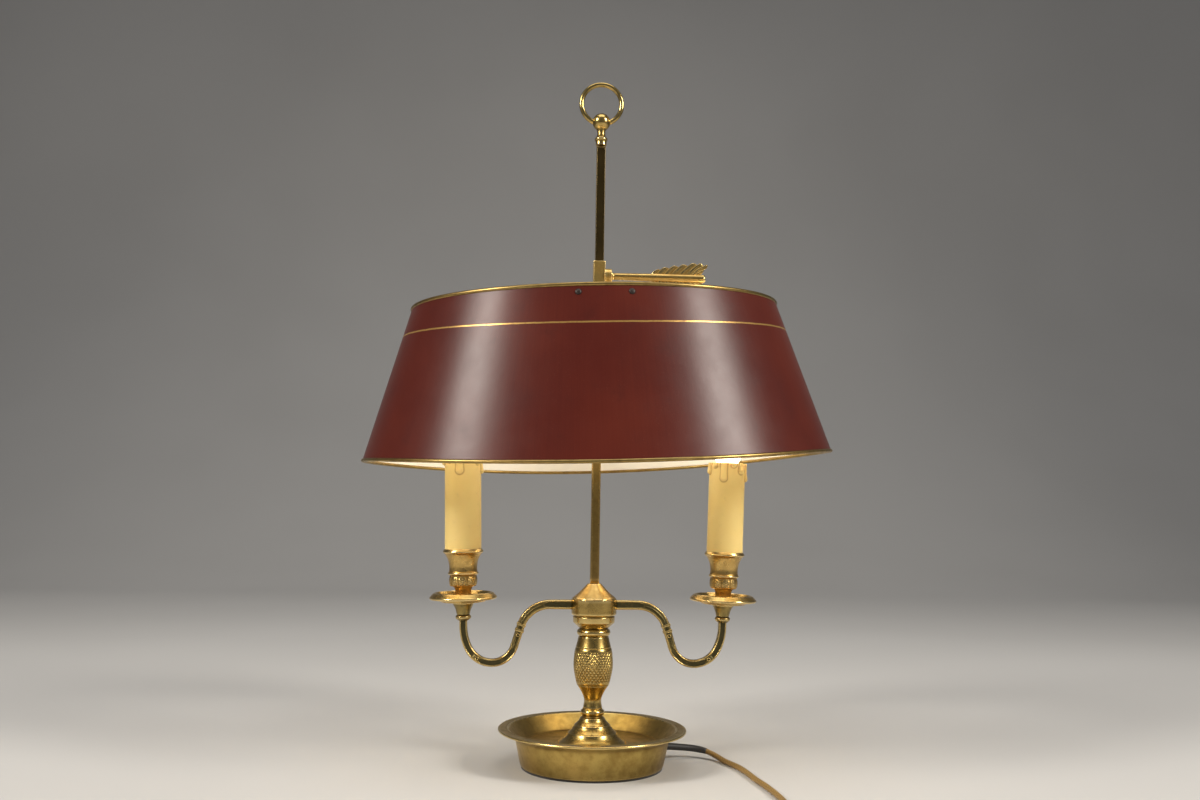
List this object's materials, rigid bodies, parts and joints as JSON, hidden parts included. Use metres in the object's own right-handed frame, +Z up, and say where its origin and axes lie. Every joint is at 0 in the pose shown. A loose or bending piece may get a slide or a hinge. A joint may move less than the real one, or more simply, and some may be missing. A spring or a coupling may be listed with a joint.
{
  "type": "bouillotte table lamp",
  "caption": "Table lamp with a dish base, turned stem, scroll arms with candle lights, and an oval shade that slides on a square bar and is locked by an arrow key.",
  "frame": {"origin": "centre of the felt's underside, on the table and on the stem's axis", "axes": "+Z up along the stem, X along the two arms with the arrow key on +X, -Y toward the viewer"},
  "size_m": [0.3522, 0.4515, 0.5193],
  "materials": {
    "brass": "aged satin",
    "bronze": "dark patina",
    "steel": "plated",
    "dark_steel": "blackened",
    "iron": "rough",
    "lacquer": "satin oxblood lacquer outside, white inside",
    "felt": "felt",
    "wax": "imitation wax",
    "glass": "clear, lit",
    "ivory_plastic": "moulded",
    "black_plastic": "moulded",
    "black_rubber": "matte",
    "wire": "insulated wire",
    "cord": "satin gold-brown"
  },
  "bodies": {
    "base": {"felt_pad": "felt", "bottom_plate": "steel", "ballast_ring": "iron", "base_dish": "brass", "cord_bush": "black_rubber", "terminal_block": "black_plastic", "base_cable": "cord", "riser_wires": "wire", "tube_nut": "steel", "tube_washer": "steel", "centre_tube": "steel", "foot": "brass", "baluster": "brass", "hub_body": "brass", "hub_cap": "brass", "splice_block": "ivory_plastic", "stem_bar": "bronze", "finial": "brass", "finger_ring": "brass", "arm_left": "brass", "arm_right": "brass", "arm_wire_left": "wire", "arm_wire_right": "wire", "ferrule_left": "brass", "ferrule_right": "brass", "drip_pan_left": "brass", "drip_pan_right": "brass", "candle_cup_left": "brass", "candle_cup_right": "brass", "candle_rod_left": "steel", "candle_rod_right": "steel", "lampholder_left": "ivory_plastic", "lampholder_right": "ivory_plastic", "screw_shell_left": "brass", "screw_shell_right": "brass", "candle_left": "wax", "candle_right": "wax", "bulb_cap_left": "steel", "bulb_cap_right": "steel", "bulb_glass_left": "glass", "bulb_glass_right": "glass", "cord_sleeve": "black_rubber", "cord_lamp": "cord", "cord_mid": "cord", "cord_coil": "cord", "cord_end": "cord", "switch_base": "black_plastic", "switch_cover": "black_plastic", "plug_body": "black_plastic", "plug_pins": "steel"},
    "shade": {"shade_shell": "lacquer", "shade_top_bead": "brass", "shade_bottom_bead": "brass", "shade_strap": "brass", "shade_rivets": "dark_steel", "carrier": "brass"},
    "key": {"arrow_key": "brass"},
    "rocker": {"switch_rocker": "ivory_plastic"}
  },
  "joints": [
    {"name": "shade_slide", "type": "slide", "parent": "base", "child": "shade", "axis": [0, 0, 1], "range_m": [-0.07, 0.091]},
    {"name": "key_turn", "type": "hinge", "parent": "shade", "child": "key", "pos_m": [0, 0, 0.3664], "axis": [1, 0, 0], "range_deg": [0, 360]},
    {"name": "rocker_tilt", "type": "hinge", "parent": "base", "child": "rocker", "pos_m": [0.118, -0.203, 0.0106], "axis": [1, 0, 0], "range_deg": [-16, 0]}
  ]
}
